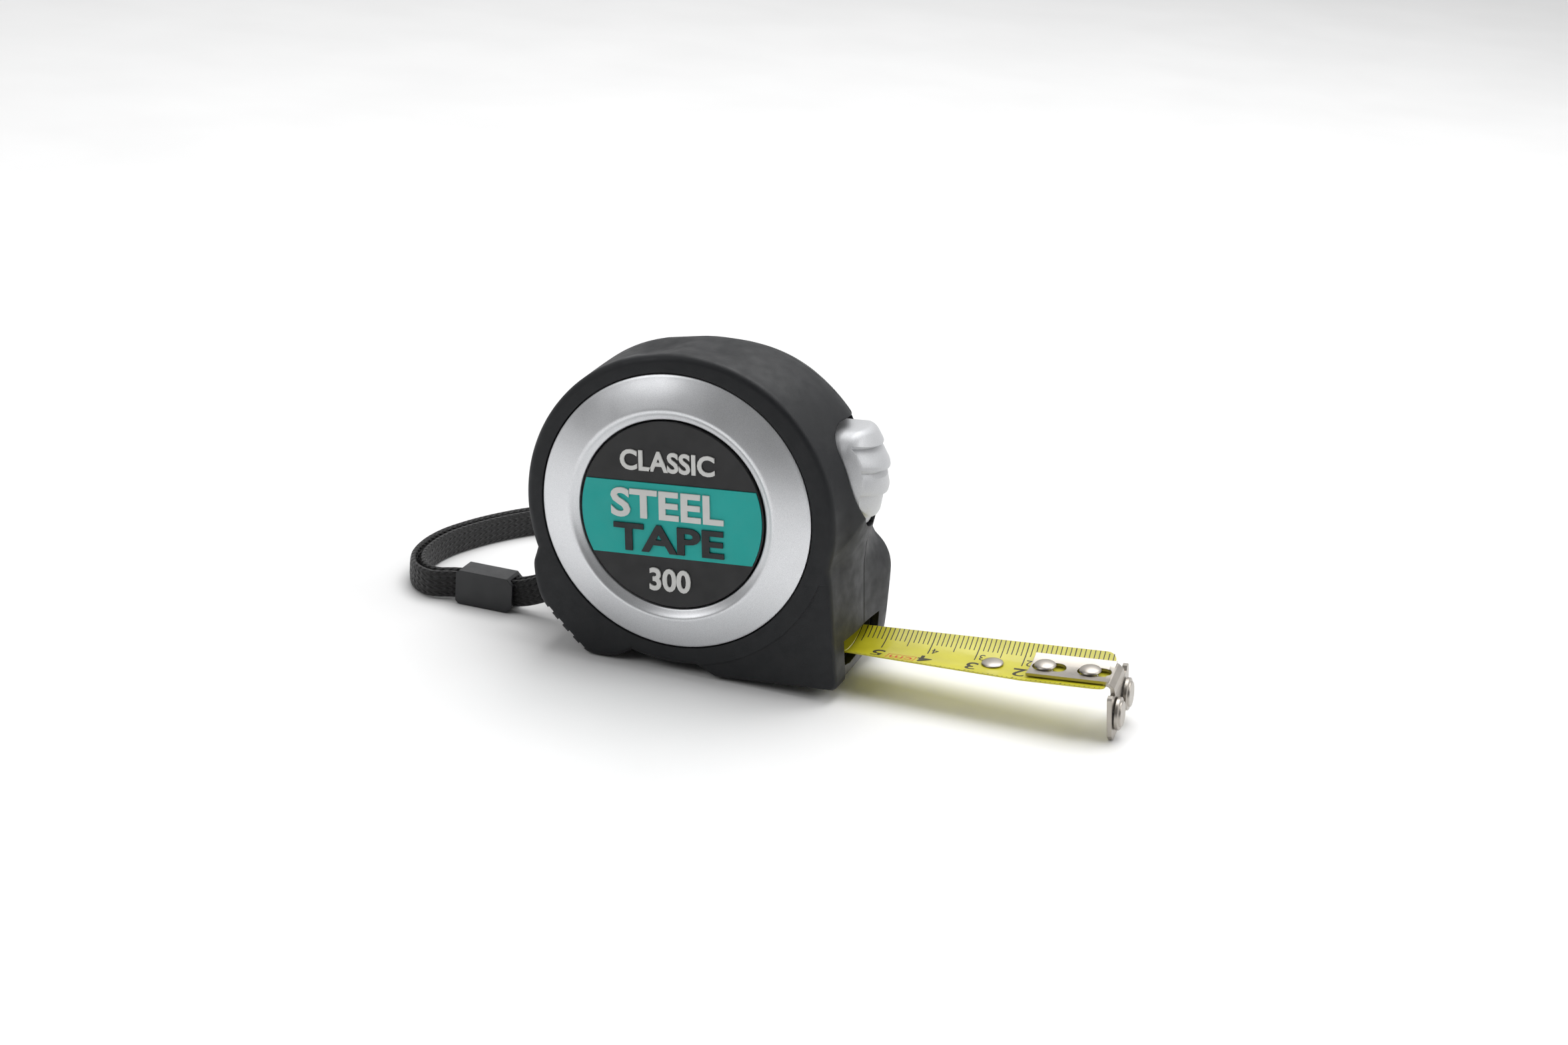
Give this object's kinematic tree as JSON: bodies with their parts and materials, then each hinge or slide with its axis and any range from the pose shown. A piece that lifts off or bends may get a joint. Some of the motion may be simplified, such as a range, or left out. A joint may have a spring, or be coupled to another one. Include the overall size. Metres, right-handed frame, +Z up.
{
  "type": "tape measure",
  "caption": "Pocket tape measure lying on its heel and end hook, part of its dished steel blade drawn out, with a thumb release button, belt clip and looped wrist strap.",
  "frame": {"origin": "centre of the standing tape's footprint box, on the table it stands on, strap left out", "axes": "+Z up, +X from the heel towards the end hook, +Y from the bezel side with the badge towards the belt clip side; the case leans back so the blade's line rises 4.9 degrees towards the hook"},
  "size_m": [0.1654, 0.0885, 0.0692],
  "materials": {
    "shell": "moulded satin",
    "rubber": "fine matte grain",
    "silver": "satin silver",
    "badge": "soft matte with a coloured band",
    "steel": "plain",
    "nickel": "nickel plated",
    "blade": "yellow lacquer, printed scale",
    "nylon": "smooth moulded",
    "brass": "plain",
    "pad": "matte",
    "webbing": "close woven webbing"
  },
  "bodies": {
    "case": {"left_shell": "shell", "right_shell": "shell", "left_overmould": "rubber", "right_overmould": "rubber", "left_bezel_ring": "silver", "right_bezel_ring": "silver", "left_badge": "badge", "right_badge": "badge", "mouth_guide": "nylon", "spool_post": "steel", "blade_feed": "blade", "lever_pin": "steel", "case_screw_1": "steel", "case_screw_2": "steel", "case_screw_3": "steel", "belt_clip": "nickel", "clip_screw": "nickel", "strap_pin": "steel", "wrist_strap": "webbing", "strap_slider": "nylon"},
    "tape": {"blade": "blade", "stop_rivet": "brass", "hook_rivet_1": "nickel", "hook_rivet_2": "nickel"},
    "hook": {"end_hook": "nickel", "hook_magnet_left": "nickel", "hook_magnet_right": "nickel"},
    "reel": {"reel_drum": "nylon", "drum_cover": "nylon", "power_spring": "steel", "blade_coil": "blade"},
    "button": {"thumb_button": "silver"},
    "brake": {"brake_lever": "nylon", "brake_pad": "pad", "lever_spring": "steel"}
  },
  "joints": [
    {"name": "blade_slide", "type": "slide", "parent": "case", "child": "tape", "axis": [0.9963, 0, 0.0859], "range_m": [-0.0525, 0], "deforming": ["blade_feed"]},
    {"name": "reel_spin", "type": "hinge", "parent": "case", "child": "reel", "pos_m": [-0.03058, -0.0025, 0.03516], "axis": [0, 1, 0], "range_deg": [-1, 158]},
    {"name": "hook_slide", "type": "slide", "parent": "tape", "child": "hook", "axis": [0.9963, 0, 0.0859], "range_m": [0, 0.001]},
    {"name": "button_press", "type": "slide", "parent": "case", "child": "button", "axis": [-0.9963, 0, -0.0859], "range_m": [0, 0.002], "stiffness_N_per_m": 1200, "springref_m": -0.0015},
    {"name": "brake_lift", "type": "hinge", "parent": "case", "child": "brake", "pos_m": [-0.01454, -0.0025, 0.01215], "axis": [0, 1, 0], "range_deg": [-3.7, 0.1]}
  ],
  "couplings": [
    {"joint": "reel_spin", "follows": "blade_slide", "rad_per_m": -51.9},
    {"joint": "brake_lift", "follows": "button_press", "rad_per_m": -31}
  ]
}
